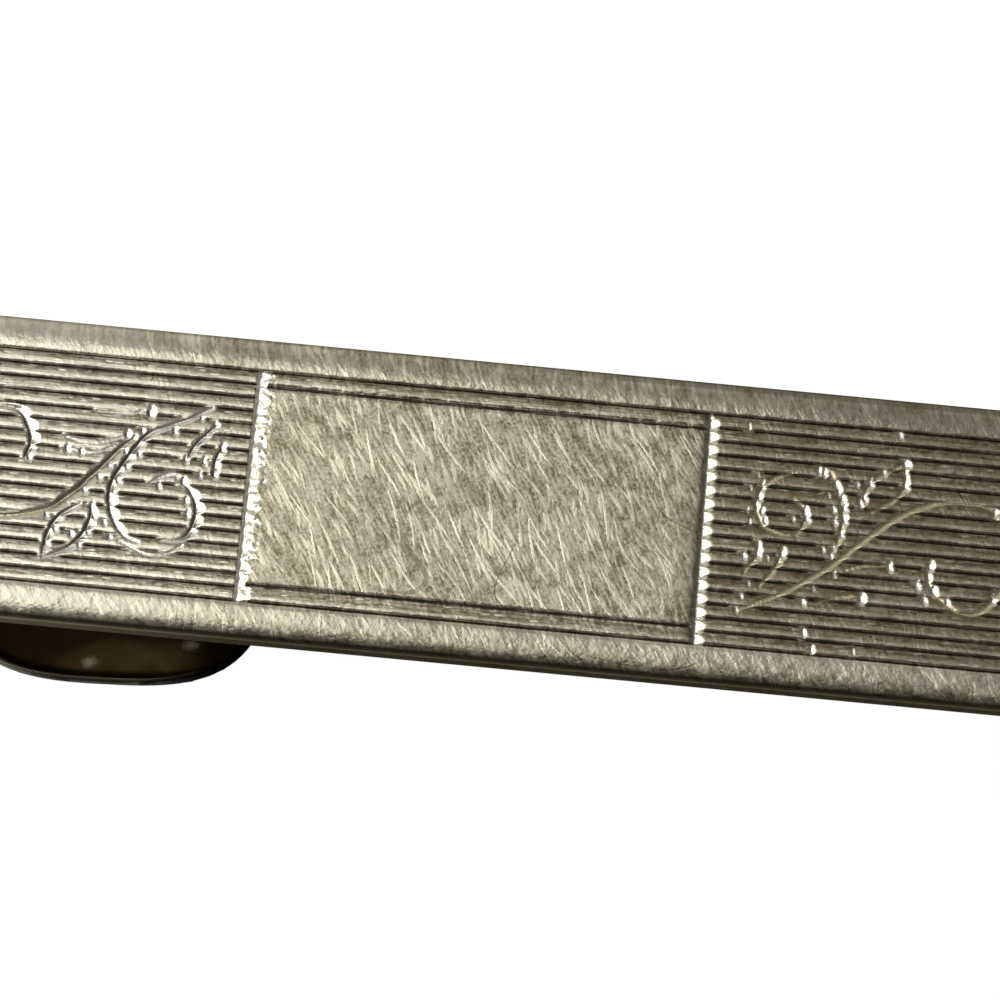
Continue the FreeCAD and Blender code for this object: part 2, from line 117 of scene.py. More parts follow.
# Single touches of the graver beside the right-hand strokes: place and half width
RIGHT_DOTS = (
    (5.93, 1.02, 0.058), (5.88, 0.77, 0.065), (5.86, 0.58, 0.038), (5.95, 0.45, 0.058),
    (6.02, 0.27, 0.052), (6.85, 0.57, 0.065), (6.89, 0.4, 0.072), (5.69, 0.96, 0.026),
    (5.66, 0.47, 0.026), (5.72, 0.22, 0.026), (5.83, 1.25, 0.026), (6.61, 0.38, 0.038),
    (7.08, 1.44, 0.052), (7.19, 1.41, 0.058), (7.45, 1.21, 0.065), (7.52, 1.06, 0.058),
    (7.6, 0.91, 0.065), (7.65, 0.7, 0.072), (7.67, 0.45, 0.072), (7.63, 0.13, 0.058),
    (7.48, -0.18, 0.052), (7.44, -0.33, 0.038), (7.27, -0.22, 0.038), (7.32, 0.95, 0.026),
    (7.43, 0.66, 0.052), (7.47, 0.39, 0.058), (8.86, 1.77, 0.091), (8.88, 1.58, 0.058),
    (8.89, 1.3, 0.078), (8.43, 1.53, 0.052), (8.16, 1.28, 0.065), (8.05, 0.96, 0.065),
    (7.98, 0.84, 0.058), (7.89, 1.24, 0.038), (5.94, -0.23, 0.052), (5.93, -0.44, 0.085),
    (6.43, -0.39, 0.078), (5.64, -0.5, 0.058), (6.14, -0.51, 0.026), (5.65, -1.36, 0.038),
    (5.57, -1.66, 0.038), (5.79, -1.09, 0.026), (8.66, -0.47, 0.065), (6.92, -1.37, 0.058),
    (8.12, -1.19, 0.085), (7.54, -0.74, 0.038), (7.13, -1.06, 0.026), (9.5, -0.37, 0.078),
    (9.5, -0.62, 0.052), (9.59, -0.89, 0.078), (9.89, -1.08, 0.058), (9.25, -0.79, 0.065),
    (9.42, -1.09, 0.058), (6.98, -2.03, 0.052), (7.17, -2.37, 0.058), (8.03, -2.33, 0.026),
    (10.78, 0.89, 0.072), (10.83, -0.95, 0.072), (8.71, 2.4, 0.052), (5.57, 2.26, 0.03),
)

# Scroll strokes on the left-hand field
LEFT_STROKES = (
    ("stem", 0.1, (
        (-7.18, 0.76), (-7.39, 0.57), (-7.57, 0.36), (-7.72, 0.17), (-7.86, 0.0), (-8.01, -0.16),
        (-8.15, -0.35), (-8.3, -0.49), (-8.47, -0.64), (-8.62, -0.78), (-8.81, -0.9), (-9.21, -1.03),
        (-9.69, -1.14), (-10.1, -1.16), (-10.5, -1.08), (-10.87, -0.86), (-11.17, -0.5), (-11.28, -0.05),
        (-11.2, 0.42), (-10.9, 0.86), (-10.45, 1.14), (-9.98, 1.21),
    )),
    ("volute", 0.085, (
        (-10.45, 1.14), (-9.98, 1.21), (-9.58, 1.11), (-9.36, 0.81), (-9.27, 0.51), (-9.36, 0.15),
    )),
    ("ring", 0.078, (
        (-5.61, 1.57), (-5.81, 1.46), (-6.06, 1.3), (-6.3, 1.19), (-6.55, 1.06), (-6.81, 0.95),
        (-6.98, 0.78), (-7.12, 0.57), (-7.24, 0.37), (-7.36, 0.14), (-7.46, -0.06), (-7.52, -0.26),
        (-7.54, -0.48), (-7.51, -0.69), (-7.45, -0.9), (-7.35, -1.08), (-7.22, -1.26), (-7.07, -1.37),
        (-6.85, -1.44),
    )),
    ("ring_right", 0.072, (
        (-6.39, -1.37), (-6.08, -1.32), (-5.91, -1.24), (-5.8, -1.08), (-5.74, -0.88), (-5.72, -0.67),
        (-5.76, -0.48), (-5.87, -0.29), (-5.98, -0.16), (-6.2, -0.03),
    )),
    ("ring_top", 0.05, ((-5.92, -0.06), (-6.15, 0.03), (-6.34, 0.05), (-6.58, -0.04), (-6.73, -0.14))),
    ("ring_low", 0.05, ((-7.24, -1.45), (-6.92, -1.59), (-6.56, -1.69), (-6.2, -1.59), (-5.93, -1.43))),
    ("leaf_left", 0.072, (
        (-8.11, -0.73), (-8.3, -0.85), (-8.53, -1.05), (-8.66, -1.29), (-8.73, -1.54), (-8.76, -1.86),
    )),
    ("leaf_right", 0.072, (
        (-8.75, -1.92), (-8.48, -1.81), (-8.21, -1.63), (-8.03, -1.42), (-7.91, -1.18), (-7.86, -0.94),
        (-7.86, -0.75),
    )),
    ("branch_low", 0.045, ((-8.58, 0.41), (-8.08, 0.36), (-7.63, 0.51), (-7.18, 0.7))),
    ("branch_high", 0.045, ((-8.58, 0.66), (-8.13, 0.56), (-7.58, 0.7), (-7.23, 0.85))),
    ("stroke", 0.055, ((-7.98, 1.27), (-7.29, 1.29), (-6.99, 1.37), (-6.79, 1.34))),
    ("leaflet_low", 0.06, ((-6.03, 0.4), (-5.89, 0.74), (-5.64, 1.04), (-5.47, 1.21))),
    ("leaflet_high", 0.065, ((-5.42, 0.1), (-5.44, 0.42), (-5.34, 0.72))),
)

# Single touches beside the left-hand strokes
LEFT_DOTS = (
    (-6.85, 1.33, 0.09), (-7.27, 0.82, 0.07), (-6.96, 0.93, 0.06), (-6.3, 1.0, 0.07),
    (-5.77, 1.33, 0.05), (-5.47, 1.21, 0.05), (-5.63, 1.0, 0.055), (-5.87, 0.72, 0.05),
    (-5.29, 0.71, 0.075), (-5.39, 0.42, 0.075), (-5.63, 0.4, 0.065), (-6.01, 0.4, 0.06),
    (-5.4, 0.16, 0.08), (-5.68, 0.11, 0.05), (-7.26, 0.47, 0.06), (-6.98, 0.44, 0.06),
    (-7.57, 0.16, 0.07), (-7.2, 0.16, 0.075), (-7.75, -0.11, 0.08), (-7.35, -0.16, 0.08),
    (-8.02, -0.42, 0.08), (-7.4, -0.4, 0.06), (-8.34, -0.69, 0.06), (-8.73, -1.02, 0.06),
    (-7.83, -0.79, 0.07), (-7.75, -0.97, 0.07), (-7.53, -1.08, 0.05), (-8.52, -1.3, 0.075),
    (-8.18, -1.38, 0.06), (-7.84, -1.3, 0.07), (-8.66, -1.61, 0.08), (-7.99, -1.59, 0.06),
    (-9.23, 0.17, 0.07), (-8.47, 0.4, 0.065), (-8.17, 0.36, 0.055), (-6.01, -0.07, 0.07),
    (-6.5, -0.21, 0.055), (-5.91, -0.47, 0.06), (-5.85, -0.76, 0.06), (-7.38, -1.36, 0.05),
)

# Spots on the thumb plate where the metal shows through the tarnish: place and strength
WORN_SPOTS = ((-8.07, -2.8, 1.0), (-5.85, -2.34, 0.36))

# The ornament runs on to each end of the bar: the first motif turned over, and a spray of leaves
REPEAT_STEP = 6.45
LINK_STROKE = ("link", 0.05, ((11.24, 0.3), (11.45, 0.85), (11.72, 1.35), (12.01, 1.65)))
SPRAY_STROKES = (
    ("spray_middle", 0.06, ((17.9, -0.1), (18.6, 0.02), (19.5, 0.05), (20.6, 0.0))),
    ("spray_high", 0.07, ((18.3, 0.05), (18.8, 0.55), (19.4, 0.92), (20.1, 1.02))),
    ("spray_low", 0.07, ((18.3, -0.05), (18.8, -0.52), (19.4, -0.88), (20.1, -1.0))),
    ("spray_curl_high", 0.06, ((17.7, 0.75), (18.1, 1.15), (18.5, 1.3), (18.85, 1.2), (18.95, 0.95))),
    ("spray_curl_low", 0.06, ((17.7, -0.85), (18.1, -1.2), (18.5, -1.35), (18.85, -1.25), (18.95, -1.0))),
)


def length_property(name, description, millimetres):
    """Length that a user can change, with its default in millimetres."""
    return FloatProperty(name=name, description=description, default=millimetres * MM, unit="LENGTH")


def colour_property(name, description, default):
    """Colour that a user can change."""
    return FloatVectorProperty(
        name=name, description=description, default=default, size=3, subtype="COLOR"
    )


class TieClipFace(bpy.types.PropertyGroup):
    """Sizes of the engraving on the bar's face."""

    ridge_count: IntProperty(name="Ridges", description="Ridges across each field", default=17, min=3)
    ridge_pitch: length_property("Ridge pitch", "From one groove to the next", 0.29)
    groove_width: length_property("Groove width", "Width of a ruled groove", 0.078)
    groove_depth: length_property("Groove depth", "Depth of a ruled groove", 0.065)
    low_line_shift: length_property("Low line shift", "How far the panel's lower line stands in", 0.07)
    high_line_shift: length_property("High line shift", "How far the panel's upper line stands in", 0.035)
    ridge_crown: length_property("Ridge crown", "How far a ridge falls away at its sides", 0.02)
    panel_length: length_property("Panel length", "Length of the plain name panel", 9.43)
    end_border: length_property("End border", "Plain border at each end of the bar", 0.95)
    flare_length: length_property("Flare length", "Length of the cut at the end of a groove", 0.21)
    flare_width: length_property("Flare width", "Width of the cut at the end of a groove", 0.33)
    flare_depth: length_property("Flare depth", "Depth of the cut at the end of a groove", 0.1)
    flare_lift: length_property("Flare lift", "How far a flare stands off its groove", 0.04)
    scroll_slope: FloatProperty(
        name="Scroll slope",
        description="Depth of a scroll cut for each half width",
        default=0.82,
    )


class TieClipFinish(bpy.types.PropertyGroup):
    """Colours of the metal."""

    silver: colour_property("Silver", "Worn silver", (0.60, 0.555, 0.43))
    # bright also serves as painted light: the lit left ends of the fields and border, the highlight on each
    # ridge and the border's sheen
    bright: colour_property("Bright cut", "Clean metal in the scroll cuts", (0.82, 0.79, 0.68))
    # tarnish also serves as painted shade on the steep side of each cut and on the panel's right-hand wall
    tarnish: colour_property("Tarnish", "Dark tarnish in the grooves", (0.016, 0.012, 0.007))
    # lever: tarnished brown, kept near black as painted shade for the thumb plate, which lies in the bar's
    # shadow
    lever: colour_property("Lever", "Tarnished lever", (0.066, 0.046, 0.018))
    steel: colour_property("Steel", "Pin and spring wire", (0.42, 0.41, 0.38))


class TieClipStage(bpy.types.PropertyGroup):
    """Floor, lamps and camera."""

    floor: colour_property("Floor", "Colour of the floor", (0.9, 0.9, 0.89))
    sky: colour_property("Room", "Even light of the room", (0.30, 0.30, 0.29))
    key_power: FloatProperty(
        name="Key lamp",
        description="Power of the lamp at the left",
        default=0.5,
        unit="POWER",
    )
    top_power: FloatProperty(
        name="Top lamp",
        description="Power of the lamp overhead",
        default=0.255,
        unit="POWER",
    )
    camera_distance: length_property("Camera distance", "From the face to the camera", 80)


class Wire:
    """An output socket that can stand in Python expressions."""

    def __init__(self, graph, socket):
        self.graph = graph
        self.socket = socket

    def out(self, name):
        """Another output of the same node."""
        return Wire(self.graph, self.socket.node.outputs[name])

    def math(self, operation, *values):
        return self.graph.math(operation, self, *values)

    def __rsub__(self, other):
        return self.graph.math("SUBTRACT", other, self)

    __add__ = __radd__ = partialmethod(math, "ADD")
    __mul__ = __rmul__ = partialmethod(math, "MULTIPLY")
    __sub__ = partialmethod(math, "SUBTRACT")
    __truediv__ = partialmethod(math, "DIVIDE")
    __pow__ = partialmethod(math, "POWER")
    __abs__ = partialmethod(math, "ABSOLUTE")
    __lt__ = partialmethod(math, "LESS_THAN")
    __gt__ = partialmethod(math, "GREATER_THAN")
    least = partialmethod(math, "MINIMUM")
    most = partialmethod(math, "MAXIMUM")

    def step(self, low, high, to_low=0.0, to_high=1.0):
        """Smooth step from one value to another."""
        values = {"Value": self, "From Min": low, "From Max": high, "To Min": to_low, "To Max": to_high}
        return self.graph.add("ShaderNodeMapRange", {"interpolation_type": "SMOOTHSTEP"}, values)


class Graph:
    """Adds nodes to one tree."""

    def __init__(self, tree):
        self.tree = tree
        tree.nodes.clear()

    def add(self, kind, settings=None, values=None, out=0):
        """One node: its settings first, then the values or links of its sockets."""
        node = self.tree.nodes.new(kind)
        for name, value in (settings or {}).items():
            setattr(node, name, value)
        for name, value in (values or {}).items():
            if isinstance(value, Wire):
                self.tree.links.new(value.socket, node.inputs[name])
            else:
                node.inputs[name].default_value = value
        return Wire(self, node.outputs[out]) if len(node.outputs) else node

    def math(self, operation, *values):
        return self.add("ShaderNodeMath", {"operation": operation}, dict(enumerate(values)))

    def mix(self, factor, first, second):
        """Colour between two colours."""
        values = {"Factor": factor, 6: colour(first), 7: colour(second)}
        return self.add("ShaderNodeMix", {"data_type": "RGBA"}, values, out=2)

    def moved(self, place, operation, value):
        """Vector that is added to, multiplied or scaled."""
        socket = "Scale" if operation == "SCALE" else 1
        return self.add("ShaderNodeVectorMath", {"operation": operation}, {0: place, socket: value})

    def parts(self, place):
        """The three numbers of a vector."""
        split = self.add("ShaderNodeSeparateXYZ", None, {0: place})
        return split.out("X"), split.out("Y"), split.out("Z")

    def vector(self, x, y, z):
        return self.add("ShaderNodeCombineXYZ", None, {"X": x, "Y": y, "Z": z})


def colour(value):
    """A colour socket takes four numbers."""
    return value if isinstance(value, Wire) else (*value, 1.0)


def new_object(name, data):
    """Object in the scene for a mesh, curve or lamp."""
    made = bpy.data.objects.new(name, data)
    bpy.context.scene.collection.objects.link(made)
    return made


def mesh_object(name, points, faces, smooth=True):
    """Mesh object from points and faces."""
    mesh = bpy.data.meshes.new(name)
    mesh.from_pydata([tuple(point) for point in points], [], faces)
    mesh.validate()
    mesh.polygons.foreach_set("use_smooth", [smooth] * len(mesh.polygons))
    return new_object(name, mesh)


def dress(piece, material, body, slot, *nodes):
    """Gives a piece its material and its body, and hides the nodes that it stands for. The slot is not
    used.
    """
    piece.data.materials.clear()
    piece.data.materials.append(material)
    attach(piece, body)
    if nodes:
        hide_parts(*nodes)


def streaked(graph, place, angle, length, width, seed):
    """Coordinates drawn out along one direction, for marks of this length and width in millimetres."""
    turned = graph.add(
        "ShaderNodeMapping",
        None,
        {"Vector": place, "Location": (seed, seed * 1.7, seed * 0.3), "Rotation": (0, 0, -angle)},
    )
    return graph.moved(turned, "MULTIPLY", (1 / length, 1 / width, 1))


def grain(graph, place, angle, length, width, seed):
    """Streaky noise along one direction."""
    drawn = streaked(graph, place, angle, length, width, seed)
    return mottle(graph, drawn, 1.0, 1.5, 0.6)


def mottle(graph, place, scale, detail=4.0, roughness=0.65):
    """Cloudy noise with this many patches to a millimetre."""
    values = {"Vector": place, "Scale": scale, "Detail": detail, "Roughness": roughness}
    return graph.add("ShaderNodeTexNoise", None, values)


def scattered_marks(graph, place, angle, length, width, seed, share):
    """Separate tapered marks along one direction, of which about this share shows."""
    drawn = streaked(graph, place, angle, length, width, seed)
    values = {"Vector": drawn, "Scale": 1.0, "Randomness": 1.0}
    cells = graph.add("ShaderNodeTexVoronoi", {"feature": "F1"}, values)
    shows = cells.out("Color").step(1.0 - share, 1.1 - share)
    return cells.step(0.2, 0.42, 1.0, 0.0) * shows


def hair_cracks(graph, place, seed):
    """Thin wandering lines that come and go."""
    moved = graph.moved(place, "ADD", (seed, -seed, 0))
    line = abs(mottle(graph, moved, 0.22, 1.0, 0.3) - 0.5).step(0.001, 0.003, 1.0, 0.0)
    return line * mottle(graph, moved, 0.5, 1.0).step(0.5, 0.58)


def attribute(graph, name):
    """Value that the face's mesh carries at each point."""
    return graph.add("ShaderNodeAttribute", {"attribute_name": name}).out("Fac")


def times(tint, *shares):
    """A colour with each channel scaled."""
    return [value * share for value, share in zip(tint, shares)]


class Look:
    """What the layers of one metal have built up so far."""

    def __init__(self, graph, place, finish):
        self.graph = graph
        self.place = place
        self.finish = finish
        self.base = None
        self.rough = None
        self.metallic = 1.0
        self.height = 0.0

    def over(self, share, tint):
        """Lays a tint over what is there."""
        self.base = self.graph.mix(share, self.base, tint)


def aged_metal(name, tint, finish, angles, wear, roughness, edge=1.0, layer=None):
    """Worn metal: mottled tarnish and rubbed marks at the given angles, then a further layer."""
    material = bpy.data.materials.new(name)
    material.use_nodes = True
    graph = Graph(material.node_tree)
    place = graph.moved(graph.add("ShaderNodeTexCoord").out("Object"), "SCALE", 1 / MM)
    look = Look(graph, place, finish)
    x, y, z = graph.parts(place)
    place = graph.vector(x, y + z, z)
    wear = wear * (1 - attribute(graph, "ridged") * 0.45)
    cloud = mottle(graph, place, 0.7)
    speck = mottle(graph, place, 3.5, 5.0, 0.7)
    grit = mottle(graph, place, 14.0, 3.0, 0.7)
    brushed = grain(graph, place, angles[0], 0.45, 0.055, 3.1)
    shift = graph.moved(grit.out("Color"), "SCALE", 0.06)
    bend = graph.moved(mottle(graph, place, 0.45, 1.0, 0.5).out("Color"), "SCALE", 0.5)
    rough_place = graph.moved(graph.moved(place, "ADD", shift), "ADD", bend)
    fine = (speck - 0.5) * 2.2 + (grit - 0.5) * 1.8 + (brushed - 0.5) * 1.9
    tone = 0.54 + (cloud - 0.5) * 1.8 + fine * wear
    look.base = graph.mix(tone, times(tint, 0.36, 0.345, 0.26), times(tint, 1.12, 1.12, 1.12))
    rubbed = 0.0
    for i, angle in enumerate(angles):
        short = scattered_marks(graph, rough_place, angle, 0.75, 0.13, 11.7 + 7.7 * i, 0.52)
        long = scattered_marks(graph, rough_place, angle + 0.05, 1.7, 0.1, 47.3 + 5.9 * i, 0.4)
        rubbed = (short * 0.7).most(long).most(rubbed)
    rubbed = rubbed * cloud.step(0.36, 0.6, 0.45, 1.0) * wear
    cracks = hair_cracks(graph, place, 3.7) * wear
    pits = mottle(graph, place, 6.0, 2.0, 0.5).step(0.6, 0.7) * wear
    look.over(pits * 0.3, times(tint, 0.3, 0.3, 0.22))
    look.over(rubbed * 0.9, times(tint, 1.85, 1.86, 1.85))
    look.over(cracks * 0.5, times(tint, 0.25, 0.22, 0.14))
    look.rough = roughness + (speck - 0.5) * 0.35 - rubbed * 0.08
    look.height = rubbed * 1.0 - pits * 0.8 - cracks * 0.6 + speck * 1.2 * wear + grit * 0.7 * wear
    if layer:
        layer(look)
    relief = {"Strength": 0.7, "Distance": 0.005 * MM, "Height": look.height}
    values = {
        "Base Color": look.base,
        "Metallic": look.metallic,
        "Roughness": look.rough,
        "Normal": graph.add("ShaderNodeBump", None, relief),
        "Specular IOR Level": 0.15,
        "Specular Tint": (edge, edge, edge, 1),
    }
    shader = graph.add("ShaderNodeBsdfPrincipled", None, values)
    graph.add("ShaderNodeOutputMaterial", None, {"Surface": shader})
    return material


def engraved_layer(look):
    """Streaked ridges, dark grooves and bright scroll cuts, with painted light and shade: fields lighter at
    the left and darker towards the right, shade and a highlight on each ridge, and shade beside the cuts
    and on their steep sides.
    """
    graph, finish = look.graph, look.finish
    names = ("groove", "cut", "stem", "touch", "beside", "ridged", "steep", "rise")
    groove, cut, stem, touch, beside, ridged, steep, rise = (attribute(graph, name) for name in names)
    along, upward, _ = graph.parts(look.place)
    broken = grain(graph, look.place, 0.0, 0.16, 0.07, 31.3)
    streak = grain(graph, look.place, 0.0, 0.9, 0.04, 21.9)
    nicks = scattered_marks(graph, look.place, 0.0, 0.32, 0.07, 65.1, 0.4)
    brown = times(finish.silver, 0.26, 0.215, 0.14)
    # Painted light: the ridged field lightens towards its left end, where the key lamp stands. The
    # right-hand field darkens towards its end, and painted shade browns the panel towards its right-hand
    # wall.
    painted_light_left = ridged * along.step(-9.0, -3.0, 0.52, 0.0)
    darker_to_right = ridged * along.step(3.0, 6.0, 0.0, 0.5)
    shaded = (1 - ridged) * along.step(4.0, 4.75, 0.0, 0.4)
    look.over(shaded, brown)
    look.over(painted_light_left, finish.bright)
    look.over(darker_to_right, times(finish.silver, 0.36, 0.34, 0.26))
    look.over(ridged * streak.step(0.46, 0.64) * 0.5, brown)
    # Painted shade and highlight on each ridge: brown over its upper part, and a pale band across its lower
    # part that is stronger at the left and low on the bar.
    shade = rise.step(0.2, 0.6) * streak.step(0.3, 0.55, 0.4, 0.9)
    look.over(ridged * shade * 0.5, brown)
    crest = ridged * rise.step(0.1, 0.2) * rise.step(0.3, 0.5, 1.0, 0.0)
    crest = crest * broken.step(0.36, 0.62, 0.35, 1.1)
    crest = crest * along.step(-5.5, 1.0, 0.62, 0.2) * upward.step(-2.0, 2.0, 1.3, 0.65)
    look.over(crest, times(finish.bright, 1.1, 1.1, 1.05))
    nicked = ridged * nicks * along.step(-2.0, 5.0, 0.9, 0.35)
    look.over(nicked, times(finish.bright, 1.15, 1.15, 1.1))
    teeth = ridged * broken.step(0.38, 0.48, 1.0, 0.0) * abs(rise - 0.3).step(0.05, 0.3)
    look.over(teeth * 0.6, times(finish.silver, 0.14, 0.11, 0.07))
    to_right = along.step(-2.0, 4.0)
    # Painted shade: mottled brown beside the stems and scroll cuts, more towards the right.
    shade_beside_cuts = ridged * beside * mottle(graph, look.place, 1.6, 3.0).step(0.35, 0.6) * to_right * 0.5
    look.over(shade_beside_cuts, times(finish.silver, 0.26, 0.2, 0.1))
    beige = times(finish.silver, 0.98, 0.93, 0.78)
    cut_tint = graph.mix(to_right * (1 - touch), finish.bright, beige)
    stem_tint = graph.mix(to_right, times(finish.silver, 1.15, 1.13, 1.05), beige)
    look.over(cut.step(0.05, 0.4) * 0.92, cut_tint)
    look.over(stem * (1 - touch) * 0.9, stem_tint)
    # Painted shade in the tarnish colour on the steep side of each cut and on the panel's right-hand wall,
    # which face away from the key lamp. Tarnish then fills the grooves.
    look.over(steep * along.step(-5.0, 5.0, 0.88, 0.75), finish.tarnish)
    stain = groove.step(0.12, 0.7) * streak.step(0.25, 0.5, 0.75, 1.0) * (1 - stem.most(touch))
    look.over(stain, finish.tarnish)
    look.rough = look.rough + stain * 0.2 - cut * 0.06
    # The grooves and the painted shade on the steep sides are less metallic.
    look.metallic = 1.0 - stain.most(steep * 0.8) * 0.75
    look.height = look.height + streak * ridged * 2.0 + nicks * ridged * 1.2


def dark_sides_layer(look):
    """Border and side of the bar: painted light at the left end, painted shade down the side and under the
    rounded edge, a painted sheen on the border, darker towards the right on the upper side, and peened
    bumps.
    """
    graph, finish = look.graph, look.finish
    along, across, height = graph.parts(look.place)
    lower_edge = across.step(-1.0, 1.0, 1.0, 0.62)
    # Painted light: the border lightens towards its left end, where the key lamp stands.
    rubbed = along.step(-11.0, -3.0, 0.45, 0.0)
    look.over(rubbed, times(finish.bright, 1.1, 1.1, 1.08))
    # Painted shade down the side of the bar, stronger on the lower side and paler at the lit left end.
    stain = height.step(-0.18, -0.09, 0.97, 0.0) * lower_edge
    dark, pale = times(finish.silver, 0.15, 0.145, 0.125), times(finish.silver, 0.5, 0.48, 0.46)
    look.over(stain, graph.mix(rubbed, dark, pale))
    far_end = across.step(0.0, 1.0) * along.step(1.0, 9.0, 0.0, 0.5)
    look.over(far_end, times(finish.silver, 0.28, 0.26, 0.19))
    shoulder = across.step(2.98, 3.06) * along.step(-4.0, 5.0, 0.0, 0.55)
    look.over(shoulder, times(finish.silver, 0.15, 0.155, 0.16))
    # Painted shade: a near-black band where the rounded edge turns down on the lower side.
    shade_under_edge = height.step(-0.28, -0.22) * height.step(-0.18, -0.12, 1.0, 0.0)
    shade_under_edge = shade_under_edge * across.step(-1.0, 1.0, 0.85, 0.0)
    look.over(shade_under_edge, times(finish.silver, 0.03, 0.028, 0.022))
    sheen = height.step(-0.05, -0.004) * across.step(-1.0, 1.0, 0.24, 0.12)
    look.over(sheen, times(finish.bright, 1.1, 1.1, 1.05))
    peening = mottle(graph, look.place, 4.0, 2.0, 0.55)
    peening = peening + grain(graph, look.place, -1.0, 0.4, 0.1, 5.7) * 0.4
    look.height = look.height + peening * 5.0
    look.rough = look.rough + stain * 0.08


def thumb_layer(look):
    """Colour of the lever: painted shade over the thumb plate's dish around a painted pool of brown light,
    a grey rim lighter at the left, silver flanks with marks, and pale spots rubbed through the tarnish.
    """
    graph, finish = look.graph, look.finish
    along, across, height = graph.parts(look.place)
    # Painted shade darkens the dish around a painted pool of brown light in its middle.
    off_middle = ((along + 6.9) / 1.8) ** 2 + ((across + 2.8) / 0.55) ** 2
    haze = mottle(graph, look.place, 0.8, 3.0, 0.6)
    glow = (off_middle + (haze - 0.5) * 2.2).step(0.1, 1.3, 1.0, 0.0)
    look.over(1 - glow, times(finish.lever, 0.36, 0.34, 0.36))
    look.over(glow * 0.4, times(finish.lever, 1.5, 1.5, 1.6))
    # Painted shade at the ends of the dish and inside its rim.
    ends = along.step(-6.8, -5.3) + along.step(-11.0, -9.6, 0.8, 0.0)
    outline = (abs(along + 7.67) / 3.5) ** 3.35 + (abs(across) / 3.2) ** 3.35
    inside_edge = outline.step(0.74, 0.88)
    dark = times(finish.lever, 0.05, 0.05, 0.06)
    look.over(ends.most(inside_edge) * 0.92, dark)
    # The rim is painted grey, lighter at the left end and dark towards the right, with a painted highlight
    # at the far left.
    edge = outline.step(0.94, 0.985) * along.step(-8.0, -5.5, 1.0, 0.15)
    look.over(edge, times(finish.silver, 0.1, 0.1, 0.095))
    rim_highlight = outline.step(0.95, 0.99) * along.step(-11.0, -8.6, 0.6, 0.0)
    look.over(rim_highlight, times(finish.silver, 0.3, 0.3, 0.3))
    above_plate = height.step(-5.3, -4.3) * along.step(-4.4, -3.6) * haze.step(0.3, 0.7, 1.0, 0.78)
    look.over(above_plate, times(finish.silver, 0.5, 0.47, 0.4))
    flank = graph.vector(along, across + height, 0.0)
    marks = scattered_marks(graph, flank, 0.12, 1.4, 0.12, 17.3, 0.45) * above_plate
    look.over(marks * 0.4, times(finish.silver, 0.95, 0.93, 0.85))
    look.height = look.height + marks * 0.6
    ragged = (mottle(graph, look.place, 7.0, 2.0) - 0.5) * 0.25
    rubbed = 0.0
    for x, y, share in WORN_SPOTS:
        offset = graph.moved(look.place, "SUBTRACT", (x, y, 0))
        flat = graph.moved(offset, "MULTIPLY", (0.75, 1, 0))
        away = graph.add("ShaderNodeVectorMath", {"operation": "LENGTH"}, {0: flat}, out="Value")
        rubbed = ((away + ragged).step(-0.02, 0.18, 1.0, 0.0) * share).most(rubbed)
    look.over(rubbed * 0.5, finish.silver)


def shifted(strokes, step, flip):
    """Copies of strokes, moved along the bar and turned over."""
    made = []
    for name, half, points in strokes:
        made.append((name + "_again", half, tuple((x + step, y * flip) for x, y in points)))
    return made


def all_strokes():
    """Every scroll stroke of the face."""
    beyond = [LINK_STROKE, *shifted(RIGHT_STROKES, REPEAT_STEP, -1), *SPRAY_STROKES]
    turned = [(name + "_turned", half, tuple((-x, -y) for x, y in points)) for name, half, points in beyond]
    dots = []
    for x, y, half in (*RIGHT_DOTS, *LEFT_DOTS):
        dots.append(("dot", half * 1.25, ((x - 0.065, y + 0.04), (x - 0.05, y - 0.04))))
    return [*RIGHT_STROKES, *LEFT_STROKES, *dots, *beyond, *turned]


def scroll_curves(name, strokes):
    """Curve object of scroll strokes, each point's radius being the half width of its cut."""
    data = bpy.data.curves.new(name, "CURVE")
    data.dimensions = "3D"
    data.resolution_u = 12
    for _, half, points in strokes:
        spline = data.splines.new("BEZIER")
        spline.bezier_points.add(len(points) - 1)
        for i, ((x, y), point) in enumerate(zip(points, spline.bezier_points)):
            before, after = points[max(i - 1, 0)], points[min(i + 1, len(points) - 1)]
            run, rise = abs(after[0] - before[0]), abs(after[1] - before[1])
            crossing = rise / math.hypot(run, rise)
            taper = 0.55 + 0.45 * math.sin(math.pi * i / (len(points) - 1)) ** 0.5
            point.co = (x * MM, y * MM, 0)
            point.handle_left_type = point.handle_right_type = "AUTO"
            point.radius = half * MM * taper * (0.65 + 1.05 * crossing)
    return new_object(name, data)


# Sizes of the engraving that the face's node tree takes over under the same names
FACE_SIZES = (
    "Ridge pitch", "Ridge crown", "Groove width", "Groove depth", "Low line shift", "High line shift",
    "Flare length", "Flare width", "Flare depth", "Flare lift", "Scroll slope",
)
FACE_INPUTS = {
    "NodeSocketFloat": ("Start", "End", "Panel half length", "Field half length", *FACE_SIZES),
    "NodeSocketInt": ("Columns", "Rows per ridge", "Ridges"),
    "NodeSocketObject": ("Scroll lines", "Stem lines", "Touches"),
    "NodeSocketMaterial": ("Material",),
}


